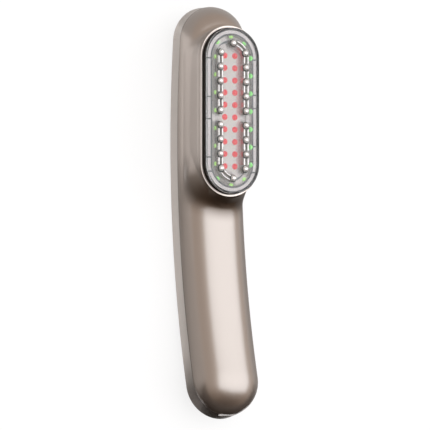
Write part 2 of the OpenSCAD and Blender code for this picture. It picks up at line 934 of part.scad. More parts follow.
module swing_weight() {
    color("slategray")
    on_spine(motor_at)
        translate([0, motor_len / 2 + weight_len + 0.8, motor_h])
            rotate([90, 0, 0])
                difference() {
                    union() {
                        intersection() {
                            cylinder(h = weight_len, r = weight_r, $fn = fine);
                            translate([-weight_r, -weight_r, -cut])
                                cube([2 * weight_r, weight_r, weight_len + 2 * cut]);
                        }
                        cylinder(h = weight_len, r = shaft_d / 2 + 0.8, $fn = 48);
                    }
                    translate([0, 0, -cut]) cylinder(h = weight_len + 2 * cut, r = shaft_d / 2, $fn = 48);
                }
}

module motor_sleeve() {
    color(black)
    on_spine(motor_at)
    difference() {
        union() {
            translate([0, motor_len / 2 - 2, motor_h])
                rotate([90, 0, 0]) cylinder(h = motor_len - 4, r = motor_d / 2 + sleeve_t, $fn = fine);
            translate([-3, -motor_len / 2 + 2, frame_top + touch])
                cube([6, motor_len - 4, 3]);
        }
        translate([0, motor_len / 2, motor_h])
            rotate([90, 0, 0]) cylinder(h = motor_len, r = motor_d / 2, $fn = fine);
    }
}

module motor_leads() {
    rear = -motor_len / 2;
    color("royalblue")
    for (side = [-1, 1])
        wire([spot(board_at, motor_socket_x + side * 0.5, motor_socket_y + socket_len / 2 + 0.05, socket_z),
            spot(motor_at, motor_socket_x + side * 0.5, rear - 5.4, frame_under - 1),
            spot(motor_at, motor_socket_x + 1.2 + side * 0.7, rear - 1.2, frame_top + 2.5),
            spot(motor_at, side * 2, rear - 0.45, motor_h)], 0.35);
}

module usb_shell() {
    color(metal)
    on_spine(tip_low)
        translate([0, -usb_front, port_h])
            rotate([-90, 0, 0])
                difference() {
                    pill(usb_w, usb_h, 0, usb_len);
                    pill(usb_w - 2 * usb_sheet, usb_h - 2 * usb_sheet, -cut, usb_len - 2 * usb_sheet);
                }
}

module usb_tongue() {
    color(black)
    on_spine(tip_low)
        translate([-usb_tongue_w / 2, -usb_front + 0.9, port_h - usb_tongue_t / 2])
            cube([usb_tongue_w, usb_len - 0.9 - 2 * usb_sheet, usb_tongue_t]);
}

module usb_board() {
    color(circuit_green)
    on_spine(tip_low)
    difference() {
        translate([-usb_board_w / 2, -usb_front + 3.6, usb_board_h])
            cube([usb_board_w, usb_len + 2.4, usb_board_t]);
        for (side = [-1, 1])
            post(side * usb_post_x, usb_post_y, usb_board_h - cut, usb_board_h + 2, screw_d / 2);
    }
}

module usb_screws() {
    color(metal)
    on_spine(tip_low)
    for (side = [-1, 1])
        translate([side * usb_post_x, usb_post_y, usb_board_h + usb_board_t + head_t])
            rotate([180, 0, 0]) screw(head_t + 3.6);
}

module port_seal() {
    color(black)
    on_spine(tip_low)
        translate([0, -half_w + 0.9, port_h])
            rotate([-90, 0, 0])
                difference() {
                    pill(usb_w + 2 * port_gap - 0.1, usb_h + 2 * port_gap - 0.1, 0, 1);
                    pill(usb_w + 0.06, usb_h + 0.06, -cut, wall + cut);
                }
}

// Button cap: its face follows the curve of the back, and a flange keeps it in the cover
module button(s) {
    intersection() {
        on_spine(board_at)
            translate([0, s - board_at, 0]) {
                pill(button_len, button_w, -2, cap_top);
                pill(button_len + 2 * cap_lip, button_w + 2 * cap_lip, cap_top - cap_flange, cap_top);
            }
        spine_sweep(s - 14, s + 14) translate([-half_w, -0.25]) square([body_w, 8]);
    }
}

module power_button() {
    color(black) button(power_at);
}

module mode_button() {
    color(black) button(mode_at);
}

module tact_switch(s) {
    on_spine(board_at)
    difference() {
        translate([-switch_w / 2, s - board_at - switch_w / 2, board_h - switch_t])
            cube([switch_w, switch_w, switch_t]);
        post(0, s - board_at, board_h - switch_t - cut, board_h - switch_wall, plunger_r + touch);
    }
}

module tact_plunger(s) {
    on_spine(board_at)
        post(0, s - board_at, board_h - switch_t - plunger_t,
            board_h - switch_wall - plunger_room, plunger_r);
}

module power_switch() {
    color(metal) tact_switch(power_at);
}

module mode_switch() {
    color(metal) tact_switch(mode_at);
}

module power_plunger() {
    color(black) tact_plunger(power_at);
}

module mode_plunger() {
    color(black) tact_plunger(mode_at);
}

module light_pipes() {
    color("white")
    on_spine(pipe_at)
    for (i = [-1 : 1])
        post(i * pipe_step, 0, 0.05, 4.2, pipe_d / 2);
}

module status_lamps() {
    color("white")
    on_spine(board_at)
    for (i = [-1 : 1])
        translate([i * pipe_step - 0.8, pipe_at - board_at - 0.5, board_h - 0.5])
            cube([1.6, 1, 0.5]);
}

front_shell();
back_cover();
shell_seal();
window_lens();
lens_gasket();
ball_electrodes();
contact_strips();
contact_pins();
segment_ring();
ring_board();
ring_spacer();
green_lamps();
red_lamps();
reflector_plate();
lamp_board();
heat_spreader();
lamp_carrier();
lamp_screws();
carrier_screws();
head_cable();
inner_frame();
frame_screws();
main_board();
board_screws();
control_chip();
charge_chip();
boost_coils();
capacitors();
cable_sockets();
cell();
cell_tabs();
cell_pad();
cell_leads();
motor_can();
motor_shaft();
swing_weight();
motor_sleeve();
motor_leads();
usb_shell();
usb_tongue();
usb_board();
usb_screws();
port_seal();
power_button();
mode_button();
power_switch();
mode_switch();
power_plunger();
mode_plunger();
light_pipes();
status_lamps();
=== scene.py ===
import json
import math

import bpy
import numpy as np
from mathutils import Matrix, Vector


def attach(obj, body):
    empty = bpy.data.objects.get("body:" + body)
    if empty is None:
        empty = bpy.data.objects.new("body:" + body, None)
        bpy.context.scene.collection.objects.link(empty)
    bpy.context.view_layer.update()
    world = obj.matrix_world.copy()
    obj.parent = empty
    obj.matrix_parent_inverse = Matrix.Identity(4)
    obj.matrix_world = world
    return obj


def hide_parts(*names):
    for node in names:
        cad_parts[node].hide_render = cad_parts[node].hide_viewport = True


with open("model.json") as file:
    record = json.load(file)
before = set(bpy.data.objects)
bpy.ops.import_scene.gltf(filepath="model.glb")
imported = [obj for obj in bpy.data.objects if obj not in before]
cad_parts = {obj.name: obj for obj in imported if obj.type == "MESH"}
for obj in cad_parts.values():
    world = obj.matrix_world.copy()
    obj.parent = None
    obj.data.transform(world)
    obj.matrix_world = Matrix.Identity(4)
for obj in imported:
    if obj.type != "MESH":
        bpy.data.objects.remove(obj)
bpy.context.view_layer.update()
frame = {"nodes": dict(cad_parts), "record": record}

mm = 0.001
print("frame loaded:", len(frame["nodes"]), "nodes")

# Sizes in mm, the same as in the CAD part
casing = {"spineRadius": 440.0, "restAt": 101.0, "restDip": 0.25, "halfWidth": 16.6,
          "seamHeight": 9.6, "lowTip": 16.6, "topTip": 188.0, "wall": 1.7,
          "portHeight": 8.7, "portHalfLong": 4.87, "portHalfHigh": 1.98, "portFrom": 5.0}
head = {"at": 138.4, "shift": 12.8, "straight": 25.6, "rimWidth": 15.8, "rimHeight": 32.2,
        "lip": 1.14, "ledgeHeight": 28.0, "ledgeReach": 13.0}


# Places along the curved back and in the head

def spinePoint(s, x, y, h):
    # Point at x across, y forward and h above the back, seen from the place s along the arc.
    a = (s - casing["restAt"]) / casing["spineRadius"]
    r = casing["spineRadius"]
    oy, oz = r * np.sin(a), r - casing["restDip"] - r * np.cos(a)
    return np.stack([x + 0 * a, oy + y * np.cos(a) - h * np.sin(a),
                     oz + y * np.sin(a) + h * np.cos(a)], axis=-1)


def headPoint(x, y, h):
    # Point in the head's own straight frame, with y counted from the window's centre.
    s = np.full(np.shape(x), head["at"], dtype=float)
    return spinePoint(s, x, y + head["shift"], h)


def spineLocal(points):
    # Nearest place on the arc, held between the two tips, and x, y, h as seen from there.
    r, dip = casing["spineRadius"], casing["restDip"]
    s = casing["restAt"] + r * np.arctan2(points[..., 1], r - dip - points[..., 2])
    s = np.clip(s, casing["lowTip"], casing["topTip"])
    return (s,) + frameLocal(points, s)


def frameLocal(points, s):
    # x, y, h of points in the frame at the place s.
    a = (s - casing["restAt"]) / casing["spineRadius"]
    r = casing["spineRadius"]
    dy = points[..., 1] - r * np.sin(a)
    dz = points[..., 2] - (r - casing["restDip"] - r * np.cos(a))
    return points[..., 0], dy * np.cos(a) + dz * np.sin(a), -dy * np.sin(a) + dz * np.cos(a)


def unrolled(p, q, radius):
    # Half-round body with domed ends: p is the way round the section and q the place along it,
    # both as lengths on the outside; past a tip the two become a direction and an angle on the
    # dome, whose point lies at radius times sine and cosine of that angle
    near = np.clip(q, casing["lowTip"], casing["topTip"])
    dq = q - near
    rho = np.hypot(p, dq)
    polar = rho / casing["halfWidth"]
    safe = np.maximum(rho, 1e-9)
    flat = radius * np.sin(polar) / safe
    return spinePoint(near, flat * p, flat * dq, casing["seamHeight"] + radius * np.cos(polar))


def toUnrolled(points):
    # The p and q of unrolled() that lie under given points.
    s, x, y, h = spineLocal(points)
    flat = np.maximum(np.hypot(x, y), 1e-9)
    rho = np.arctan2(flat, h - casing["seamHeight"]) * casing["halfWidth"]
    return rho * x / flat, s + rho * y / flat


def smooth(t):
    # Smooth step from 0 to 1: 3t^2 - 2t^3.
    t = np.clip(t, 0, 1)
    return t * t * (3 - 2 * t)


def racetrack(count, straight):
    # Places on a racetrack's middle line and outward directions, in equal steps on each side and
    # end.
    sides, ends = count
    up = np.linspace(-1, 1, sides, endpoint=False)
    turn = np.linspace(0, math.pi, ends, endpoint=False)
    coreY = np.concatenate([up * straight, np.full(ends, straight), -up * straight,
                            np.full(ends, -straight)])
    angle = np.concatenate([np.zeros(sides), turn, np.full(sides, math.pi), turn + math.pi])
    return coreY, np.cos(angle), np.sin(angle)


# Meshes and materials

def gridFaces(rows, columns, closeRows=False):
    # Quads of a grid whose columns run round in a ring; closeRows joins the last row to the first.
    last = rows if closeRows else rows - 1
    i, j = np.meshgrid(np.arange(last), np.arange(columns), indexing="ij")
    iNext, jNext = (i + 1) % rows, (j + 1) % columns
    quads = np.stack([i * columns + j, i * columns + jNext, iNext * columns + jNext,
                      iNext * columns + j], axis=-1)
    return quads.reshape(-1, 4)


def meshPiece(name, points, quads, flip=False, sharpAngle=38):
    # Object from whole arrays, in mm, with its place in its mesh.
    quads = quads[:, ::-1] if flip else quads
    mesh = bpy.data.meshes.new(name)
    flatPoints = np.ascontiguousarray(points.reshape(-1, 3) * mm, dtype=np.float32)
    mesh.vertices.add(len(flatPoints))
    mesh.vertices.foreach_set("co", flatPoints.ravel())
    sizes = quads.shape[1]
    mesh.loops.add(quads.size)
    mesh.loops.foreach_set("vertex_index", np.ascontiguousarray(quads, dtype=np.int32).ravel())
    mesh.polygons.add(len(quads))
    mesh.polygons.foreach_set("loop_start", np.arange(0, quads.size, sizes, dtype=np.int32))
    mesh.update(calc_edges=True)
    mesh.validate()
    mesh.shade_smooth()
    mesh.set_sharp_from_angle(angle=math.radians(sharpAngle))
    piece = bpy.data.objects.new(name, mesh)
    bpy.context.scene.collection.objects.link(piece)
    return piece


def pointValue(piece, name, values):
    # Stores one number for each vertex, for the material to read.
    layer = piece.data.attributes.new(name, "FLOAT", "POINT")
    layer.data.foreach_set("value", np.ascontiguousarray(values, dtype=np.float32).ravel())


def dress(piece, material, body="casing", stands=()):
    # Gives a new piece its material and slot, lets it ride, and hides the nodes it stands for.
    piece.data.materials.append(material)
    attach(piece, body)
    if stands:
        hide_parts(*stands)
    return piece


# Short way to lay out the nodes of a material or a world
class Nodes:
    def __init__(self, name, store):
        self.owner = store.new(name)
        self.owner.use_nodes = True
        self.tree = self.owner.node_tree
        self.shader = self.tree.nodes.get("Principled BSDF") or self.tree.nodes["Background"]

    def add(self, kind, **values):
        node = self.tree.nodes.new(kind)
        for key, value in values.items():
            if key in node.inputs:
                node.inputs[key].default_value = value
            else:
                setattr(node, key, value)
        return node

    def link(self, a, b):
        self.tree.links.new(a, b)

    def place(self, coords):
        node = self.add("ShaderNodeSeparateXYZ")
        self.link(self.add("ShaderNodeTexCoord").outputs[coords], node.inputs[0])
        return node

    def noise(self, scale, detail=3.0, roughness=0.55):
        coords = self.add("ShaderNodeTexCoord")
        noise = self.add("ShaderNodeTexNoise", Scale=scale, Detail=detail, Roughness=roughness)
        self.link(coords.outputs["Object"], noise.inputs["Vector"])
        return noise.outputs["Fac"]

    def ramp(self, value, start, end, kind="SMOOTHSTEP", low=0.0, high=1.0):
        node = self.add("ShaderNodeMapRange", interpolation_type=kind)
        for name, number in {"From Min": start, "From Max": end, "To Min": low,
                             "To Max": high}.items():
            node.inputs[name].default_value = number
        self.link(value, node.inputs["Value"])
        return node.outputs["Result"]

    def range(self, value, low, high):
        return self.ramp(value, 0.0, 1.0, "LINEAR", low, high)

    def mix(self, factor, first, second):
        # Each of the two is a colour, or the output of a node that gives one.
        node = self.add("ShaderNodeMix", data_type="RGBA")
        self.link(factor, node.inputs["Factor"])
        for name, tone in (("A", first), ("B", second)):
            if isinstance(tone, tuple):
                node.inputs[name].default_value = (*tone, 1)
            else:
                self.link(tone, node.inputs[name])
        return node.outputs["Result"]

    def bump(self, height, strength, distance):
        node = self.add("ShaderNodeBump", Strength=strength, Distance=distance)
        self.link(height, node.inputs["Height"])
        return node.outputs["Normal"]

    def attribute(self, name):
        return self.add("ShaderNodeAttribute", attribute_name=name).outputs["Fac"]

    def math(self, operation, value, number):
        node = self.add("ShaderNodeMath", operation=operation)
        self.link(value, node.inputs[0])
        node.inputs[1].default_value = number
        return node.outputs[0]

    def seenRays(self):
        path = self.add("ShaderNodeLightPath")
        node = self.add("ShaderNodeMath", operation="MAXIMUM")
        self.link(path.outputs["Is Camera Ray"], node.inputs[0])
        self.link(path.outputs["Is Transmission Ray"], node.inputs[1])
        return node.outputs[0]

    def mixShaders(self, share, first, second):
        node = self.add("ShaderNodeMixShader")
        self.link(share, node.inputs["Fac"])
        self.link(first, node.inputs[1])
        self.link(second, node.inputs[2])
        return node.outputs[0]


def finish(name, colour, second, roughness, metallic=0.0, coat=0.0, grain=2500.0, bumpHeight=4e-6,
           patch=180.0, zones=(), dulled=None, low=None, **constants):
    # Opaque finish: two close colours in soft patches, fine grain in roughness and bump. Where an
    # attribute of the piece named in zones is 1, the colour is that zone's colour. The coat fades
    # where the attribute named by dulled rises, and low turns the colour between two places on Y.
    n = Nodes(name, bpy.data.materials)
    tone = n.mix(n.noise(patch, 4), colour, second)
    for zone, zoneColour in zones:
        tone = n.mix(n.attribute(zone), tone, zoneColour)
    if low:
        start, end, lowColour = low
        tone = n.mix(n.ramp(n.place("Object").outputs["Y"], start, end), tone, lowColour)
    n.link(tone, n.shader.inputs["Base Color"])
    fine = n.noise(grain, 2)
    n.link(n.range(fine, roughness - 0.05, roughness + 0.05), n.shader.inputs["Roughness"])
    n.link(n.bump(fine, 0.25, bumpHeight), n.shader.inputs["Normal"])
    n.shader.inputs["Metallic"].default_value = metallic
    n.shader.inputs["Coat Weight"].default_value = coat
    if dulled:
        n.link(n.range(n.attribute(dulled), coat, coat * 0.1), n.shader.inputs["Coat Weight"])
    for key, value in constants.items():
        n.shader.inputs[key.replace("_", " ")].default_value = value
    return n.owner


def clearFinish(name, tint, roughness, ior=1.49):
    # Clear moulded plastic with a faint haze that varies.
    n = Nodes(name, bpy.data.materials)
    n.link(n.range(n.noise(900.0, 3), roughness * 0.6, roughness * 1.4),
           n.shader.inputs["Roughness"])
    for key, value in {"Base Color": (*tint, 1), "Transmission Weight": 1.0, "IOR": ior}.items():
        n.shader.inputs[key].default_value = value
    return n.owner


# The names with an underscore are the material slots of the part's own record
looks = {
    "champagne": finish("satinChampagne", (0.385, 0.33, 0.29), (0.37, 0.317, 0.278), 0.36,
                        metallic=0.93, coat=1.0, grain=5200.0, bumpHeight=2e-6, patch=60.0,
                        # painted shade in the groove under the rim, a dark parting line at the
                        # seam, and a lighter lip that also paints a highlight
                        zones=[("grooveShadeAndSeam", (0.15, 0.115, 0.09)), ("lip", (0.70, 0.61, 0.55)),
                               # painted shade in the hollow under the head, where the coat also
                               # fades
                               ("paintedShade", (0.085, 0.06, 0.042))], dulled="paintedShade",
                        Coat_Roughness=0.26, Coat_IOR=2.3),
    "back_paint": finish("satinGrey", (0.67, 0.635, 0.60), (0.65, 0.615, 0.58), 0.38,
                         metallic=0.9, coat=0.4, grain=5200.0, bumpHeight=2e-6, patch=60.0,
                         # darker toward the lower tip: painted shade
                         low=(-0.064, -0.094, (0.11, 0.088, 0.073)), Coat_Roughness=0.3),
    "seal_rubber": finish("sealRubber", (0.008, 0.006, 0.005), (0.013, 0.01, 0.008), 0.6,
                          # the lighter grey zone is a painted reflection
                          zones=[("paintedReflection", (0.32, 0.285, 0.265))], Specular_IOR_Level=0.08),
    "chrome_ball": finish("polishedChrome", (0.83, 0.83, 0.82), (0.77, 0.77, 0.77), 0.27,
                          metallic=0.72, grain=1800.0, bumpHeight=1e-6),
    # bright rail metal whose near-white and dark grey patches paint glints
    "railGlintMetal": finish("railGlintMetal", (0.95, 0.95, 0.94), (0.4, 0.39, 0.38), 0.26,
                        metallic=1.0, grain=900.0, bumpHeight=6e-6, patch=700.0),
    "contact_metal": finish("brushedSteel", (0.55, 0.55, 0.56), (0.45, 0.45, 0.46), 0.3,
                            metallic=1.0),
    # near-black seat colour that paints the balls' shadow
    "seatShadow": finish("seatShadow", (0.030, 0.036, 0.032), (0.045, 0.05, 0.045), 0.5,
                       Specular_IOR_Level=0.2),
    "gold_pin": finish("goldPlate", (0.83, 0.6, 0.25), (0.75, 0.52, 0.2), 0.2, metallic=1.0),
    "pale_segment": finish("paleSegment", (0.56, 0.50, 0.487), (0.52, 0.465, 0.452), 0.4,
                           grain=1400.0),
    "ring_grey": finish("ringGrey", (0.31, 0.272, 0.24), (0.26, 0.228, 0.20), 0.35,
                        zones=[("pale", (0.58, 0.525, 0.50)), ("edge", (0.03, 0.025, 0.022))]),
    "carrierGrey": finish("carrierGrey", (0.27, 0.24, 0.212), (0.22, 0.195, 0.172), 0.22,
                          # the grey left at the wall's foot is painted shade, and the red zone is
                          # painted red light from the lamps
                          zones=[("footShadeFade", (0.58, 0.51, 0.485)), ("paintedRedLight", (0.78, 0.07, 0.075))]),
    "green_glow": finish("greenLamp", (0.20, 0.62, 0.14), (0.26, 0.7, 0.2), 0.3,
                         # yellow zone painted on the lamps as a glint
                         zones=[("paintedGlint", (0.42, 0.55, 0.12))],
                         Emission_Color=(0.16, 0.75, 0.10, 1), Emission_Strength=0.28),
    "red_glow": finish("redLamp", (0.72, 0.03, 0.035), (0.69, 0.027, 0.032), 0.5,
                       Specular_IOR_Level=0.1,
                       Emission_Color=(1.0, 0.05, 0.05, 1), Emission_Strength=0.13),
    "pale_plate": finish("palePlate", (0.612, 0.545, 0.495), (0.565, 0.51, 0.488), 0.45),
    "board_white": finish("whiteBoard", (0.75, 0.75, 0.72), (0.7, 0.7, 0.68), 0.4),
    "board_green": finish("greenBoard", (0.02, 0.13, 0.06), (0.03, 0.16, 0.07), 0.35),
    "spreader_metal": finish("spreaderMetal", (0.7, 0.7, 0.71), (0.62, 0.62, 0.63), 0.35,
                             metallic=1.0),
    "frame_grey": finish("frameGrey", (0.10, 0.10, 0.105), (0.13, 0.13, 0.13), 0.55),
    "screw_steel": finish("screwSteel", (0.5, 0.5, 0.52), (0.4, 0.4, 0.42), 0.3, metallic=1.0),
    "flat_cable": finish("flatCable", (0.55, 0.42, 0.2), (0.5, 0.38, 0.18), 0.35),
    "chip_black": finish("chipBlack", (0.015, 0.015, 0.016), (0.025, 0.025, 0.025), 0.45),
    "coil_grey": finish("coilGrey", (0.07, 0.07, 0.075), (0.1, 0.1, 0.1), 0.5),
    "ceramic_tan": finish("ceramicTan", (0.42, 0.28, 0.15), (0.48, 0.32, 0.18), 0.4),
    "socket_ivory": finish("socketIvory", (0.7, 0.65, 0.52), (0.65, 0.6, 0.48), 0.4),
    "cell_sleeve": finish("cellSleeve", (0.05, 0.26, 0.2), (0.06, 0.3, 0.22), 0.25),
    "foam": finish("foam", (0.05, 0.05, 0.05), (0.08, 0.08, 0.08), 0.9, bumpHeight=4e-5),
    "lead_red": finish("leadRed", (0.45, 0.02, 0.02), (0.4, 0.03, 0.03), 0.4),
    "lead_blue": finish("leadBlue", (0.03, 0.06, 0.4), (0.03, 0.05, 0.33), 0.4),
    "motor_steel": finish("motorSteel", (0.55, 0.55, 0.57), (0.48, 0.48, 0.5), 0.28,
                          metallic=1.0),
    "usb_steel": finish("socketSteel", (0.93, 0.91, 0.90), (0.86, 0.84, 0.83), 0.35,
                        metallic=0.25),
    "button_dark": finish("buttonSatin", (0.085, 0.07, 0.062), (0.10, 0.082, 0.072), 0.42,
                          metallic=0.5),
    "pipe_white": finish("lightPipe", (0.8, 0.8, 0.8), (0.74, 0.74, 0.75), 0.25,
                         Subsurface_Weight=0.2),
    "clear_lens": clearFinish("clearLens", (0.97, 0.965, 0.96), 0.02),
}
print("materials ready:", len(looks))

for entry in frame["record"]["subparts"]:
    node = frame["nodes"].get(entry["node"])
    if node is None:
        continue
    node.data.materials.clear()
    node.data.materials.append(looks[entry["material_slot"]])


# Front shell: one closed skin, from the window's lip down to the seam

shell = {"sideColumns": 92, "topColumns": 110, "lowColumns": 236, "wallRows": 10,
         "bodyRows": 66, "innerRows": 12, "rimRound": 0.32, "lipRound": 0.12,
         "waist": 15.1, "lowBlend": 1.2, "sideBlend": 2.0, "topBlend": 2.2,
         "footFlare": 0.0028, "footFrom": 25, "rimFlare": 0.028, "rimFrom": 26.8,
         "groove": 0.4, "grooveHeight": 29.6, "grooveSpread": 0.6,
         "endFrom": 16, "endRun": 16, "blendFrom": 12, "blendRun": 6,
         "rampSlope": 0.84, "rampFoot": 6.5, "rampRound": 2.4, "rampFrom": 14, "rampRun": 9,
         "wallUnder": 2.6, "bodyEase": 1.3, "seamRound": 0.12}
# Where the shell's painted tones lie: painted shade in the groove under the rim and in the hollow
# under the head, and the lip's lighter tone that also paints a highlight
tones = {"creviceHeight": 29.8, "creviceSpread": 0.8, "creviceOuter": 16.2, "creviceInner": 14.9,
         "lipHeight": 31.75, "lipReach": 15.78, "lipSide": 0.2,
         "shadeFrom": 17, "shadeRun": 25, "shadeLow": 11, "shadeRise": 12,
         "shadeReach": 13.5, "shadeSide": 9.5}


def collarWidth(h):
    # Half width of the collar at a height: a waist that opens with the square of the height to
    # the rim and to the body, less a groove under the rim, depth times e^(-(distance/spread)^2).
    return (shell["waist"] + shell["footFlare"] * np.maximum(shell["footFrom"] - h, 0) ** 2
            + shell["rimFlare"] * np.maximum(h - shell["rimFrom"], 0) ** 2
            - shell["groove"] * np.exp(-((h - shell["grooveHeight"]) / shell["grooveSpread"]) ** 2))


def rampRise(d):
    # Height of the ramp under the head at a distance from the collar: a straight slope that ends
    # in a round foot, slope (foot + round - d)^2 / (4 round) there.
    s, foot, r = shell["rampSlope"], shell["rampFoot"], shell["rampRound"]
    d = np.maximum(d, 0)
    return np.where(d < foot - r, s * (foot - d), s * np.maximum(foot + r - d, 0) ** 2 / (4 * r))


def bodyDistance(points):
    # Distance from the half-round body: sqrt(x^2 + y^2 + (h - seam)^2) less its half width.
    x, y, h = spineLocal(points)[1:]
    return np.sqrt(x * x + y * y + (h - casing["seamHeight"]) ** 2) - casing["halfWidth"]


def shellDistance(points):
    # Smooth union of the body and the collar: min(a, b) - k/4 (1 - |a - b|/k)^2. Under the head
    # the body first swells by the ramp's rise.
    x, y, h = frameLocal(points, np.full(points.shape[:-1], head["at"]))
    y = y - head["shift"]
    over = np.maximum(np.abs(y) - head["straight"], 0)
    collar = np.hypot(x, over) - collarWidth(h)
    body = bodyDistance(points)
    low = smooth((-y - shell["endFrom"]) / shell["endRun"])
    top = smooth((y - shell["endFrom"]) / shell["endRun"])
    k = shell["sideBlend"] * (1 - low) * (1 - top) + shell["lowBlend"] * low \
        + shell["topBlend"] * top
    k = np.maximum(k * smooth((h - shell["blendFrom"]) / shell["blendRun"]), 1e-4)
    body = body - low * smooth((h - shell["rampFrom"]) / shell["rampRun"]) * rampRise(collar)
    blend = np.maximum(1 - np.abs(collar - body) / k, 0)
    return np.minimum(collar, body) - k / 4 * blend ** 2


def settle(points, distance, steps=14, probe=0.01):
    # Newton steps along the gradient until the points lie where the distance is zero.
    for _ in range(steps):
        value = distance(points)
        slope = np.stack([(distance(points + probe * axis) - distance(points - probe * axis))
                          for axis in np.eye(3)], axis=-1) / (2 * probe)
        size = np.maximum((slope ** 2).sum(-1), 0.2)
        points = points - np.clip(value / size, -1.5, 1.5)[..., None] * slope
    return points


def seamOutline(count):
    # Unrolled places round the seam, matched to the racetrack's sides and ends: lines at a quarter
    # round, half width times pi / 2, and a half circle of that radius round each tip.
    sides, ends, low = count
    reach = casing["halfWidth"] * math.pi / 2
    centre = head["at"] + head["shift"]
    up = np.linspace(-1, 1, sides, endpoint=False) * head["straight"]
    right = np.stack([np.full(sides, reach), centre + up], axis=-1)
    left = np.stack([np.full(sides, -reach), centre - up], axis=-1)

    def endLoop(n, start, tip, sign):
        # Down one side, round the dome and back up the other side.
        run = abs(tip - start)
        lengths = np.linspace(0, 2 * run + math.pi * reach, n, endpoint=False)
        turn = np.clip((lengths - run) / reach, 0, math.pi)
        q = start + sign * np.minimum(lengths, run) \
            - sign * np.maximum(lengths - run - math.pi * reach, 0)
        return np.stack([sign * reach * np.cos(turn), q + sign * reach * np.sin(turn)], axis=-1)

    top = endLoop(ends, centre + head["straight"], casing["topTip"], 1)
    bottom = endLoop(low, centre - head["straight"], casing["lowTip"], -1)
    return np.concatenate([right, top, left, bottom])


def portRise(outline):
    # Lifts the seam at the lower tip over the charging socket's opening, which is a straight with
    # round ends: sqrt(half height^2 - (distance past the straight)^2) above its middle.
    p, q = outline[:, 0], outline[:, 1]
    dq = np.minimum(q - casing["lowTip"], 0)
    rho = np.hypot(p, dq)
    x = casing["halfWidth"] * p / np.maximum(rho, 1e-9)
    high, long = casing["portHalfHigh"], casing["portHalfLong"]
    over = np.maximum(np.abs(x) - (long - high), 0)
    top = casing["portHeight"] + np.sqrt(np.maximum(high ** 2 - over ** 2, 0))
    atPort = dq < -casing["portFrom"]
    rise = np.where((np.abs(x) < long) & atPort, np.maximum(top - casing["seamHeight"], 0), 0)
    scale = np.arccos(np.clip(rise / casing["halfWidth"], 0, 1)) / (math.pi / 2)
    factor = np.where(atPort, scale, 1)
    return np.stack([p * factor, casing["lowTip"] + (q - casing["lowTip"]) * factor], axis=-1)


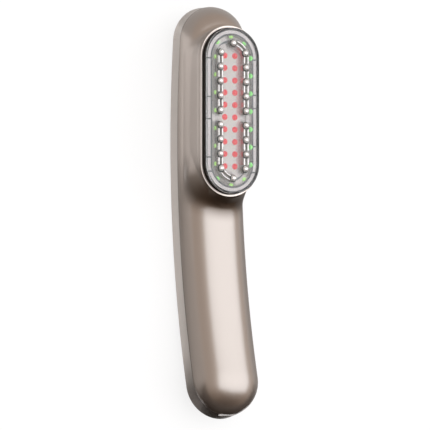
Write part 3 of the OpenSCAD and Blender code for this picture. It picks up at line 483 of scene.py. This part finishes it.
def frontShell():
    # Rings and lines from the ledge inside the lip, over the rim, down the collar and the body to
    # the seam, and back up inside; the outer ones are settled on the smooth union.
    counts = (shell["sideColumns"], shell["topColumns"], shell["lowColumns"])
    coreTop = racetrack((counts[0], counts[1]), head["straight"])
    coreLow = racetrack((counts[0], counts[2]), head["straight"])
    cut = 2 * counts[0] + counts[1]
    coreY, dirX, dirY = [np.concatenate([a[:cut], b[-counts[2]:]])
                         for a, b in zip(coreTop, coreLow)]

    def ring(r, h):
        return headPoint(r * dirX, coreY + r * dirY, h + 0 * dirX)

    # Lip, from the ledge inside to the rim's outer edge: exact rings
    rim, lipIn = head["rimHeight"], head["rimWidth"] - head["lip"]
    small, big = shell["lipRound"], shell["rimRound"]
    quarter = np.linspace(0, math.pi / 2, 6)
    profile = [(head["ledgeReach"], head["ledgeHeight"] - 0.15),
               (head["ledgeReach"] + 0.02, head["ledgeHeight"]), (lipIn - 0.1, head["ledgeHeight"])]
    profile += [(lipIn, head["ledgeHeight"] + 0.1), (lipIn, rim - small * 2)]
    profile += [(lipIn + small * (1 - math.cos(a)), rim - small + small * math.sin(a))
                for a in quarter]
    profile += [(collarWidth(rim - big) - big + big * math.sin(a), rim - big + big * math.cos(a))
                for a in quarter]
    rows = [ring(r, h) for r, h in profile]

    # Foot of the collar: the height at which its wall meets the body
    swell = rampRise(0.0) * smooth((-(coreY + shell["waist"] * dirY) - shell["endFrom"])
                                   / shell["endRun"])
    low, high = np.full(len(dirX), 10.0), np.full(len(dirX), rim - 0.8)
    for _ in range(40):
        middle = (low + high) / 2
        above = bodyDistance(ring(collarWidth(middle), middle)) > swell
        low, high = np.where(above, low, middle), np.where(above, middle, high)
    foot = (low + high) / 2
    steps = np.linspace(0, 1, shell["wallRows"] + 1)[1:]
    under = np.maximum(rim - big - shell["wallUnder"], foot + 0.3)
    heights = [(rim - big) + (under - rim + big) * t for t in steps] \
        + [under + (foot - under) * t for t in steps]
    wallRows = [ring(collarWidth(h), h) for h in heights]

    # Body: straight lines on the unrolled surface from the foot to the seam
    footP, footQ = toUnrolled(ring(collarWidth(foot), foot))
    start = np.stack([footP, footQ], axis=-1)
    outline = portRise(seamOutline(counts))
    steps = np.linspace(0, 1, shell["bodyRows"] + 1)[1:]
    ease = (np.exp(shell["bodyEase"] * steps) - 1) / (math.exp(shell["bodyEase"]) - 1)

    def bodyRow(t, radius):
        place = start + (outline - start) * t
        return unrolled(place[:, 0], place[:, 1], radius)

    bodyRows = [bodyRow(t, casing["halfWidth"]) for t in ease]
    settled = settle(np.array(wallRows + bodyRows[:-1]), shellDistance)
    rows += list(settled)

    # Seam: small round, flat joint face, then the inner skin back up to the ledge
    outlinePoint = [unrolled(outline[:, 0], outline[:, 1], casing["halfWidth"] - d)
                    for d in (0.0, shell["seamRound"], casing["wall"])]
    rows += [outlinePoint[0] * 0.85 + rows[-1] * 0.15, outlinePoint[1], outlinePoint[2]]
    rows += [bodyRow(t, casing["halfWidth"] - casing["wall"])
             for t in np.linspace(1, 0, shell["innerRows"] + 1)[1:]]
    rows = np.array(rows)
    piece = meshPiece("frontShell", rows, gridFaces(len(rows), len(dirX), closeRows=True))

    # Where the painted tones lie: painted shade in the groove under the rim and in the hollow under
    # the head, and the lip's lighter tone that also paints a highlight; the seam's rows take the
    # groove's dark colour too, as a dark parting line
    x, y, h = frameLocal(rows, np.full(rows.shape[:-1], head["at"]))
    reach = np.hypot(x, np.maximum(np.abs(y - head["shift"]) - head["straight"], 0))
    # Painted shade in the groove under the rim
    grooveShadeAndSeam = np.exp(-((h - tones["creviceHeight"]) / tones["creviceSpread"]) ** 2) \
        * smooth((tones["creviceOuter"] - reach) / 0.5) \
        * smooth((reach - tones["creviceInner"]) / 0.05)
    seam = len(profile) + len(settled)
    grooveShadeAndSeam[seam - 1:seam + 3] = np.array([0.5, 1, 1, 1])[:, None]
    # The lip's lighter tone is a bright-cut edge that also paints a highlight on it
    lip = smooth((h - tones["lipHeight"]) / tones["lipSide"]) \
        * smooth((tones["lipReach"] - reach) / tones["lipSide"])
    pointValue(piece, "grooveShadeAndSeam", grooveShadeAndSeam)
    pointValue(piece, "lip", lip)
    # Painted shade in the hollow under the head, kept off the lip
    under = smooth((head["shift"] - y - tones["shadeFrom"]) / tones["shadeRun"]) \
        * smooth((h - tones["shadeLow"]) / tones["shadeRise"])
    pointValue(piece, "paintedShade", (1 - lip) * under * smooth(
        (tones["shadeReach"] - reach + shell["waist"]) / tones["shadeSide"]))
    return dress(piece, looks["champagne"], stands=["front_shell"])


frontShell()
print("front shell made")


# Window: lens, gasket, ring, carriers and lamps

window = {"sideColumns": 224, "endColumns": 120, "width": 14.42, "inside": 13.7, "top": 35.8,
          "under": 34.3, "foot": 28.6, "edge": 0.4, "innerEdge": 0.4, "ballLine": 7.0}
ridges = {"half": 1.62, "height": 0.12, "side": 0.25, "hookReach": 0.35}
balls = {"pitch": 7.0, "radius": 1.52, "top": 37.45, "around": 40, "down": 22}
track = racetrack((window["sideColumns"], window["endColumns"]), head["straight"])
# Groups of balls, as lengths along their line, up from the middle of each side
topBall = head["straight"] + window["ballLine"] * math.pi / 2
groups = {1: [(0.0, topBall), (-28.0, -7.0)], -1: [(0.0, 28.0), (-topBall, -7.0)]}
# A lamp's numbers are radius, height, lean, half sizes along and across, thickness and skirt; an
# end's are its turn in degrees and the share of the yellow painted glint
lamps = {"around": 20, "down": 7, "greenPitch": 8.6, "redPitch": 5.933,
         "slopeLamp": (10.55, 33.3, 66, 1.3, 1.1, 0.55, 0.3),
         "leftLamp": (8.75, 33.95, 0, 1.0, 0.5, 0.16, 1.2),
         "endLamp": (10.1, 33.15, 25, 1.1, 0.85, 0.3, 0.5),
         "redLamp": (2.77, 31.84, 0, 1.45, 1.45, 0.12, 0.9),
         "ends": ((45, 0.1), (90, 0.8), (135, 0.4), (-45, 0.7), (-90, 0.8), (-135, 0.3))}


def groupDistance(r):
    # Distance from the middle line of the nearest group's band, for a ring at the radius r.
    coreY, dirX, dirY = track
    along = coreY + window["ballLine"] * np.arcsin(np.clip(dirY, -1, 1))
    beyond = {side: np.min([np.maximum(np.maximum(low - along, along - high), 0)
                            for low, high in runs], axis=0) for side, runs in groups.items()}
    beyond = np.where(dirX > -1e-9, beyond[1], beyond[-1])
    # past an end's middle the hooks' last balls are near too
    beyond = np.where(np.abs(dirX) < ridges["hookReach"], np.minimum(beyond, np.abs(r * dirX)),
                      beyond)
    return np.hypot(r - window["ballLine"], beyond)


def windowRing(r, h):
    # Ring round the window: the middle line plus r times the outward direction, at the height h.
    coreY, dirX, dirY = track
    return headPoint(r * dirX, coreY + r * dirY, h + 0 * dirX)


def ringPiece(name, profile, material, stands, values):
    # Closed ring swept round the window from a list of radius and height.
    rows = np.array([windowRing(r, h) for r, h in profile])
    piece = meshPiece(name, rows, gridFaces(len(rows), len(track[0]), closeRows=True))
    for key, value in values.items():
        pointValue(piece, key, value)
    return dress(piece, material, stands=stands)


def windowLens():
    # Clear tray with a low ridge over each group of balls: a smooth step of the distance from the
    # group's middle line. The edges are quarter rounds.
    edge, top, width, inside = (window[key] for key in ("edge", "top", "width", "inside"))
    under, inEdge = window["under"], window["innerEdge"]

    def ridge(r):
        return ridges["height"] * smooth((ridges["half"] - groupDistance(r)) / ridges["side"])

    reach = np.concatenate([np.linspace(0.0, 4.8, 10), np.arange(5.0, 9.05, 0.12),
                            np.linspace(9.3, width - edge, 10)])
    rows = [windowRing(r, top + ridge(r)) for r in reach]
    quarter = np.linspace(0, math.pi / 2, 7)[1:]
    rows += [windowRing(width - edge + edge * math.sin(a), top - edge + edge * math.cos(a))
             for a in quarter]
    rows += [windowRing(width, h) for h in np.linspace(top - edge, window["foot"], 5)[1:]]
    rows += [windowRing(inside, h) for h in np.linspace(window["foot"], under - inEdge, 5)]
    rows += [windowRing(inside - inEdge + inEdge * math.cos(a),
                        under - inEdge + inEdge * math.sin(a)) for a in quarter]
    rows += [windowRing(r, under) for r in np.linspace(inside - inEdge, 0, 8)[1:]]
    rows = np.array(rows)
    piece = meshPiece("windowLens", rows, gridFaces(len(rows), len(track[0])), flip=True,
                      sharpAngle=50)
    return dress(piece, looks["clear_lens"], stands=["window_lens"])


# Radius, height and mark of each corner: "grey" faces look inwards, "right" ones are grey only
# along the right side; that grey is a painted reflection on the black rubber
gasket = {"profile": [(13.05, 28.03, ""), (14.62, 28.03, ""), (14.62, 33.9, "right"),
                      (14.6, 34.0, "right"), (14.54, 34.02, "right"), (14.46, 33.96, "grey"),
                      (14.45, 28.56, "grey"), (13.66, 28.56, ""), (13.66, 34.2, ""),
                      (13.6, 34.27, ""), (13.45, 34.27, ""), (13.38, 34.2, "grey"),
                      (13.38, 28.6, "grey"), (13.05, 28.5, "")],
          "greyFrom": 0.3, "greyRun": 0.4}


def lensGasket():
    # Black gasket under the lens's foot: its profile carried round the window, with one sleeve
    # inside the lens's wall and one outside.
    # Inward faces, and the outer sleeve along the right side, get a lighter painted reflection
    right = smooth((track[1] - gasket["greyFrom"]) / gasket["greyRun"])
    grey = {"": 0 * right, "grey": 0 * right + 1, "right": right}
    ringPiece("lensGasket", [corner[:2] for corner in gasket["profile"]], looks["seal_rubber"],
              ["lens_gasket"],
              {"paintedReflection": np.array([grey[mark] for _, _, mark in gasket["profile"]])})


# Radius, height and mark of each corner; the floor of the segments rises to ribs in their gaps,
# which are given by their places along the right (1) and left (-1) sides
trim = {"profile": [(8.5, 32.02, "pale"), (8.5, 32.5, "pale"), (8.6, 32.6, "pale"),
                    (9.4, 32.6, "pale"), (10.2, 32.62, "pale"), (10.36, 32.72, "pale"),
                    (10.56, 33.3, "pale"), (10.8, 33.85, ""), (10.95, 34.0, "edge"),
                    (11.2, 34.05, "edge"), (11.68, 34.05, "edge"), (11.72, 34.0, "edge"),
                    (11.35, 33.96, "edge"), (11.3, 33.0, "edge"), (13.2, 33.0, "edge"),
                    (13.2, 32.02, "")],
        "ribFoot": 33.0, "ribRise": 0.87, "ribHalf": 0.42, "ribReach": 12.3, "paleFrom": 1.2,
        "gaps": {1: (25, 7.9, 1.6, -16.9, -29.5), -1: (25, 6.4, -4.3, -22.7, -29.5)}}


def ringTrim():
    # Ring that carries the segments, its profile carried round the window: an inner floor, a
    # steep slope for the green lamps, a dark edge over the segments and dark ribs between them;
    # pale between the groups of balls.
    away = smooth((groupDistance(window["ballLine"]) - trim["paleFrom"]) / trim["paleFrom"])
    pale = np.array([away * (mark == "pale") for _, _, mark in trim["profile"]])
    edge = np.array([0 * away + (mark == "edge") for _, _, mark in trim["profile"]])
    coreY, dirX, dirY = track
    ribs = sum((np.abs(coreY + trim["ribReach"] * dirY - y) < trim["ribHalf"])
               * (dirX * side > 0.3) for side, places in trim["gaps"].items() for y in places)
    profile = [(r, h + trim["ribRise"] * ribs if h == trim["ribFoot"] else h)
               for r, h, _ in trim["profile"]]
    ringPiece("ringTrim", profile, looks["ring_grey"], ["ring_board"],
              {"pale": pale, "edge": edge})


# Heights in mm; wall, cove, apron and haze reach out from the middle line of a group, spotFrom,
# spotTo and hazeTo are radii, and spot and haze are the strengths of the painted red light
carriers = {"floor": 31.70, "under": 31.6, "wallHalf": 1.78, "wallSide": 0.14, "wallRise": 2.56,
            "coveReach": 2.7, "coveRun": 0.95, "coveRise": 1.6, "coveFade": 1.9,
            "apron": 0.12, "apronReach": 4.0, "spot": 0.6, "spotHalf": 1.5, "spotFade": 0.6,
            "spotFrom": 5.2, "spotTo": 6.5, "haze": 0.22, "hazeReach": 4.0, "hazeFade": 1.2,
            "hazeTo": 6.0}


def ballCarriers():
    # Arms under the ridges that hold the balls: a steep wall, the smooth step of the distance from
    # the middle line, and on the plate's side a foot that falls with the cube of that distance. The
    # foot turns from grey at the wall to pale away from it, a painted shade at the wall's foot. The
    # red lamps' light on the right arms is painted into their colour, as a painted reflection and
    # glow.
    coreY, dirX, dirY = track
    reach = np.concatenate([[3.0, 3.3, 3.6, 3.95, 4.3, 4.45, 4.65, 4.85, 5.05, 5.2, 5.28],
                            np.arange(5.34, 8.7, 0.28), [8.66, 8.72, 8.8, 8.9]])
    lampStep = coreY / lamps["redPitch"] + 0.5
    lampGap = np.abs(lampStep - np.round(lampStep)) * lamps["redPitch"]
    right = smooth((dirX - 0.2) / 0.6) * (dirY > -0.05)
    rows, footShadeFade, paintedRedLight = [], [], []
    for r in reach:
        d = groupDistance(r)
        wall = smooth((carriers["wallHalf"] - d) / carriers["wallSide"])
        foot = np.clip((carriers["coveReach"] - d) / carriers["coveRun"], 0, 1) ** 3 \
            if r < window["ballLine"] else 0 * d
        height = carriers["floor"] + np.maximum(
            carriers["wallRise"] * wall,
            carriers["coveRise"] * foot + carriers["apron"] * (d < carriers["apronReach"]))
        rows.append(windowRing(r, height))
        # grey at the wall's foot and pale away from it: painted shade
        footShadeFade.append(np.clip((d - carriers["wallHalf"]) / carriers["coveFade"], 0, 1) ** 0.7)
        # Painted red light from the lamps: a spot beside each lamp and a faint spread, on the right
        # arms only
        spot = smooth((carriers["spotHalf"] - lampGap) / carriers["spotFade"]) \
            * smooth((r - carriers["spotFrom"]) / 0.1) * smooth((carriers["spotTo"] - r) / 0.3) \
            * (d < 1.9)
        haze = carriers["haze"] * smooth((carriers["hazeReach"] - d) / carriers["hazeFade"]) \
            * smooth((carriers["hazeTo"] - r) / 0.5)
        paintedRedLight.append(right * np.maximum(carriers["spot"] * spot, haze))
    rows += [windowRing(reach[-1], carriers["under"]), windowRing(reach[0], carriers["under"])]
    footShadeFade += [0 * d, 0 * d]
    paintedRedLight += [0 * d, 0 * d]
    rows = np.array(rows)
    piece = meshPiece("ballCarriers", rows, gridFaces(len(rows), len(dirX), closeRows=True),
                      sharpAngle=60)
    pointValue(piece, "footShadeFade", np.array(footShadeFade))
    pointValue(piece, "paintedRedLight", np.array(paintedRedLight))
    return dress(piece, looks["carrierGrey"], stands=["contact_strips"])


def linePlace(a, side, r):
    # Across and along of the place beside or on the balls' line: a is the length along it and r
    # the radius; past the straight run the line turns by the rest of the length over its radius.
    run = head["straight"]
    turn = np.sign(a) * np.maximum(np.abs(a) - run, 0) / window["ballLine"]
    return side * r * np.cos(turn), np.clip(a, -run, run) + r * np.sin(turn)


def ballSpots(side):
    # Lengths along the line at which the balls of one side stand.
    spots = [i * balls["pitch"] for i in range(-4, 5)]
    return np.array(spots + [topBall] if side > 0 else [-topBall] + spots)


def ballPlaces():
    # Across and along of the middles of all the balls.
    a = np.concatenate([ballSpots(1), ballSpots(-1)])
    return linePlace(a, np.repeat([1.0, -1.0], len(a) // 2), window["ballLine"])


# along and around are counts; gap is left free on each side of a ball's middle
rails = {"spread": 0.98, "radius": 0.45, "gap": 1.7, "rise": 0.12, "along": 44, "around": 14,
         "endShare": 0.6}


def contactRails():
    # Two rows of short round rails along each group, one rail from ball to ball, half sunk in the
    # ridge, with round ends sqrt(1 - (1 - t)^2).
    n, ring = rails["along"], rails["around"]
    t = np.linspace(0, 1, n)
    around = np.linspace(0, 2 * math.pi, ring, endpoint=False)[None, :]
    points, quads = [], []
    for side, runs in groups.items():
        spots = ballSpots(side)
        for low, high in zip(spots[:-1], spots[1:]):
            if not any(l - 0.1 < low and high < h + 0.1 for l, h in runs):
                continue
            low, high = low + rails["gap"], high - rails["gap"]
            share = rails["endShare"]
            a = (low + (high - low) * (share * smooth(t) + (1 - share) * t))[:, None]
            end = np.clip(np.minimum(t, 1 - t) * (high - low) / rails["radius"], 0, 1)
            thick = rails["radius"] * np.sqrt(1 - (1 - end[:, None]) ** 2)
            for spread in (-rails["spread"], rails["spread"]):
                r = window["ballLine"] + spread + thick * np.cos(around)
                h = window["top"] + rails["rise"] + thick * np.sin(around)
                grid = gridFaces(n, ring)
                quads.append((grid[:, ::-1] if side < 0 else grid) + len(points) * n * ring)
                points.append(headPoint(*linePlace(a, side, r), h).reshape(-1, 3))
    piece = meshPiece("contactRails", np.concatenate(points), np.concatenate(quads))
    # The rails' patches of near white and dark grey are painted glints
    return dress(piece, looks["railGlintMetal"])


def ballElectrodes():
    # Twenty balls, each a full globe set in the ridge: radius times (sin p cos q, sin p sin q,
    # cos p).
    n, m = balls["around"], balls["down"]
    around = np.linspace(0, 2 * math.pi, n, endpoint=False)[None, :]
    polar = np.linspace(0, math.pi, m)[:, None]
    radius = balls["radius"]
    globe = radius * np.stack([np.sin(polar) * np.cos(around), np.sin(polar) * np.sin(around),
                               np.cos(polar) + 0 * around], axis=-1)
    x, y = [place[:, None, None] for place in ballPlaces()]
    points = headPoint(x + globe[..., 0], y + globe[..., 1],
                       balls["top"] - radius + globe[..., 2] + 0 * x)
    quads = np.concatenate([gridFaces(m, n) + i * m * n for i in range(len(x))])
    piece = meshPiece("ballElectrodes", points, quads, flip=True)
    return dress(piece, looks["chrome_ball"], stands=["ball_electrodes"])


def domes(shapes):
    # Low domes, (wide sin p cos q, long sin p sin q, thick cos p) and a skirt below, turned to the
    # face. A row of shapes is the place along the middle line, turn, radius, height, lean of the
    # face, half sizes along and across, thickness and depth of the skirt.
    n, m = lamps["around"], lamps["down"]
    around = np.linspace(0, 2 * math.pi, n, endpoint=False)[None, None, :]
    polar = np.linspace(0, math.pi / 2, m)[None, :, None]
    core, turn, r, h, lean, long, wide, thick, skirt = [
        column[:, None, None] for column in np.array(shapes, dtype=float).T]
    turn, lean = np.radians(turn), np.radians(lean)
    across = wide * np.sin(polar) * np.cos(around)
    along = long * np.sin(polar) * np.sin(around)
    up = thick * np.cos(polar) + 0 * along
    across, along, up = [np.concatenate([a, a[:, -1:]], axis=1) for a in (across, along, up)]
    up[:, -1:] -= skirt
    out = r + across * np.cos(lean) - up * np.sin(lean)
    rise = h + across * np.sin(lean) + up * np.cos(lean)
    points = headPoint(out * np.cos(turn) - along * np.sin(turn),
                       core + out * np.sin(turn) + along * np.cos(turn), rise)
    count = (m + 1) * n
    quads = np.concatenate([gridFaces(m + 1, n) + i * count for i in range(len(shapes))])
    return points, quads


# Radius and height over the ridge of each corner
seats = {"profile": [(1.2, -0.05), (1.2, 0.03), (1.78, 0.03), (1.82, -0.01), (1.8, -0.05)],
         "around": 36, "across": -0.09, "along": -0.13}


def ballShadowSeats():
    # Dark seat round each ball, a thin flat washer a little toward the lower left, where its dark
    # paints the balls' shadow crescent: its profile carried round the ball's middle.
    n, corners = seats["around"], len(seats["profile"])
    around = np.linspace(0, 2 * math.pi, n, endpoint=False)[None, None, :]
    x, y = [place[:, None, None] for place in ballPlaces()]
    x, y = x + seats["across"], y + seats["along"]
    r, rise = np.array(seats["profile"]).T[:, None, :, None]
    points = headPoint(x + r * np.cos(around), y + r * np.sin(around),
                       window["top"] + ridges["height"] + rise + 0 * (x + around))
    grid = gridFaces(corners, n, closeRows=True)
    quads = np.concatenate([grid + i * corners * n for i in range(len(x))])
    piece = meshPiece("ballShadowSeats", points, quads)
    return dress(piece, looks["seatShadow"])


def greenLamps():
    # Twenty low domes: seven on the slope of the ring's right side, seven small ones beside the
    # left carrier and six at the ends.
    shapes, paintedGlints = [], []
    for i in range(-3, 4):
        shapes.append((i * lamps["greenPitch"], 0, *lamps["slopeLamp"]))
        shapes.append((i * lamps["greenPitch"], 180, *lamps["leftLamp"]))
        # the small lamps beside the left carrier carry the painted yellow glint
        paintedGlints += [0.0, 1.0]
    for turn, paintedGlint in lamps["ends"]:
        shapes.append((math.copysign(head["straight"], turn), turn, *lamps["endLamp"]))
        paintedGlints.append(paintedGlint)
    points, quads = domes(shapes)
    piece = meshPiece("greenLamps", points, quads, flip=True)
    pointValue(piece, "paintedGlint", np.repeat(paintedGlints, points.shape[1] * points.shape[2]))
    return dress(piece, looks["green_glow"], stands=["green_lamps"])


def redLamps():
    # Twenty flat round lamps in two columns.
    shapes = [(i * lamps["redPitch"], turn, *lamps["redLamp"])
              for i in np.arange(-4.5, 5) for turn in (0, 180)]
    points, quads = domes(shapes)
    piece = meshPiece("redLamps", points, quads, flip=True)
    return dress(piece, looks["red_glow"], stands=["red_lamps"])


windowLens()
lensGasket()
ringTrim()
ballCarriers()
contactRails()
ballElectrodes()
ballShadowSeats()
greenLamps()
redLamps()
print("window made")


# Stage: floor, light, camera

studio = {"floorSize": 6.0, "floorTone": 0.8, "floorSeen": 0.95, "floorGlow": 1.0,
          "glowShare": 0.8, "world": 0.6, "worldLow": 0.03, "worldFade": (-1.05, -0.3),
          "worldLowTint": (1.0, 0.62, 0.40), "worldTint": (1.0, 0.84, 0.73),
          "keyLean": (9.0, 1.0), "keyDistance": 2.4, "keySize": (6.8, 3.9), "keyRadiance": 1.4,
          "keyColour": (0.93, 1.0, 1.07)}
# Cards: left, right, near and far edge and height in m, and where the tone turns along X
cards = {"tipCard": ((-2, 2, -1.6, -0.104), 0.0008, None),
         "leftCard": ((-2, -0.0215, -0.104, 0.1), 0.0006, (-0.0215, -0.038)),
         "rightCard": ((0.03, 2, -0.104, 0.1), 0.0006, (0.03, 0.4)),
         "topCard": ((-2, 2, 0.1, 1.5), 0.0006, (3.0, 4.0))}
# The near tones, darker than the far ones, are a painted shadow of the object on the floor
cardTones = {"tip": (0.024, 0.015, 0.010), "nearHandle": (0.26, 0.25, 0.24),
             "farHandle": (0.44, 0.42, 0.40), "nearHead": (0.42, 0.41, 0.40),
             "farHead": (0.92, 0.91, 0.90), "lowEnd": (0.06, 0.045, 0.035),
             "headFrom": (0.008, 0.036), "lowFrom": (-0.075, -0.118)}


def floorMaterial():
    # Pale floor: a lit surface, lifted towards white where it is seen or looked at through the
    # lens.
    n = Nodes("paleFloor", bpy.data.materials)
    n.tree.nodes.remove(n.shader)
    lit = n.add("ShaderNodeBsdfDiffuse")
    glow = n.add("ShaderNodeEmission", Color=(1, 1, 1, 1), Strength=studio["floorGlow"])
    seen = n.seenRays()
    n.link(n.mix(seen, (studio["floorTone"],) * 3, (studio["floorSeen"],) * 3),
           lit.inputs["Color"])
    share = n.math("MULTIPLY", seen, studio["glowShare"])
    n.link(n.mixShaders(share, lit.outputs[0], glow.outputs[0]),
           n.tree.nodes["Material Output"].inputs["Surface"])
    return n.owner


def cardMaterial(name, fade):
    # Card that is black, or that turns from mid grey to pale away from the object, paler beside the
    # head than beside the handle and darker toward the lower tip. The grey near the object is a
    # painted shadow of the object on the floor, seen in reflections.
    n = Nodes(name, bpy.data.materials)
    n.shader.inputs["Roughness"].default_value = 0.9
    if fade is None:
        n.shader.inputs["Base Color"].default_value = (*cardTones["tip"], 1)
        return n.owner
    place = n.place("Object")
    out = n.ramp(place.outputs["X"], *fade, "LINEAR")
    tone = n.mix(n.ramp(place.outputs["Y"], *cardTones["headFrom"]),
                 n.mix(out, cardTones["nearHandle"], cardTones["farHandle"]),
                 n.mix(out, cardTones["nearHead"], cardTones["farHead"]))
    tone = n.mix(n.ramp(place.outputs["Y"], *cardTones["lowFrom"]), tone, cardTones["lowEnd"])
    n.link(tone, n.shader.inputs["Base Color"])
    return n.owner


def roomLight():
    # Even and faintly warm room light that fades to dark and warmer toward the lower tip; white
    # where it is seen itself.
    n = Nodes("studio", bpy.data.worlds)
    bpy.context.scene.world = n.owner
    level = n.ramp(n.place("Generated").outputs["Y"], *studio["worldFade"], "LINEAR",
                   studio["worldLow"], studio["world"])
    n.link(level, n.shader.inputs["Strength"])
    n.link(n.mix(n.math("DIVIDE", level, studio["world"]), studio["worldLowTint"],
                 studio["worldTint"]), n.shader.inputs["Color"])
    white = n.add("ShaderNodeBackground", Color=(1, 1, 1, 1))
    n.link(n.mixShaders(n.seenRays(), n.shader.outputs[0], white.outputs[0]),
           n.tree.nodes["World Output"].inputs["Surface"])


def flatSheet(name, edges, height, material):
    # Level rectangle in m, linked to the scene.
    x0, x1, y0, y1 = edges
    mesh = bpy.data.meshes.new(name)
    mesh.from_pydata([(x0, y0, height), (x1, y0, height), (x1, y1, height), (x0, y1, height)], [],
                     [(0, 1, 2, 3)])
    mesh.materials.append(material)
    sheet = bpy.data.objects.new(name, mesh)
    bpy.context.scene.collection.objects.link(sheet)
    return sheet


def stage():
    # Floor, room light, one large soft light overhead and the cards.
    half = studio["floorSize"] / 2
    flatSheet("floor", (-half, half, -half, half), 0, floorMaterial())
    roomLight()

    key = bpy.data.lights.new("keySoftbox", "AREA")
    key.shape = "RECTANGLE"
    key.size, key.size_y = studio["keySize"]
    key.color = studio["keyColour"]
    key.energy = studio["keyRadiance"] * math.pi * key.size * key.size_y
    lamp = bpy.data.objects.new("keySoftbox", key)
    bpy.context.scene.collection.objects.link(lamp)
    leanX, leanY = [math.tan(math.radians(lean)) for lean in studio["keyLean"]]
    lean = Vector((leanX, leanY, 1)).normalized()
    lamp.location = lean * studio["keyDistance"]
    across = (Vector((1, 0, 0)) - lean.x * lean).normalized()
    lamp.rotation_euler = Matrix((across, lean.cross(across), lean)).transposed().to_euler()
    lamp.visible_camera = False

    # Cards lying on the floor, seen only in gloss: black past the lower tip, grey at the sides
    for name, (edges, height, fade) in cards.items():
        card = flatSheet(name, edges, height, cardMaterial(name, fade))
        card.visible_camera = card.visible_diffuse = card.visible_shadow = False
        card.visible_transmission = False


# Angles in degrees and lengths in mm in the head's frame; aim shifts the middle of the picture
view = {"turn": 28.437, "tip": 3.678, "distance": 1792.0, "target": (0.0, -20.0, 15.0),
        "aim": (1.140, -16.463), "focal": 309.3, "sensor": 36, "clip": (0.05, 20)}


def camera():
    # The photograph's view, in the head's frame: turned to the left, a little from below.
    a = (head["at"] - casing["restAt"]) / casing["spineRadius"]
    tangent = Vector((0, math.cos(a), math.sin(a)))
    normal = Vector((0, -math.sin(a), math.cos(a)))
    turn, tip = math.radians(view["turn"]), math.radians(view["tip"])
    toCamera = (Vector((-math.sin(turn) * math.cos(tip), 0, 0)) - math.sin(tip) * tangent
                + math.cos(turn) * math.cos(tip) * normal)
    origin = Vector(spinePoint(np.float64(head["at"]), 0.0, 0.0, 0.0).tolist())
    x, t, f = view["target"]
    target = origin + Vector((x, 0, 0)) + t * tangent + f * normal
    place = target + toCamera * view["distance"]
    up = (tangent - tangent.dot(toCamera) * toCamera).normalized()
    right = up.cross(toCamera)
    look = target + right * view["aim"][0] + up * view["aim"][1]
    back = (place - look).normalized()
    side = up.cross(back).normalized()
    data = bpy.data.cameras.new("photoView")
    data.lens, data.sensor_width = view["focal"], view["sensor"]
    data.clip_start, data.clip_end = view["clip"]
    eye = bpy.data.objects.new("photoView", data)
    bpy.context.scene.collection.objects.link(eye)
    pose = Matrix((side, back.cross(side), back)).transposed().to_4x4()
    pose.translation = [length * mm for length in place]
    eye.matrix_world = pose
    bpy.context.scene.camera = eye


stage()
camera()
bpy.context.scene.view_settings.view_transform = "Standard"
print("stage ready")
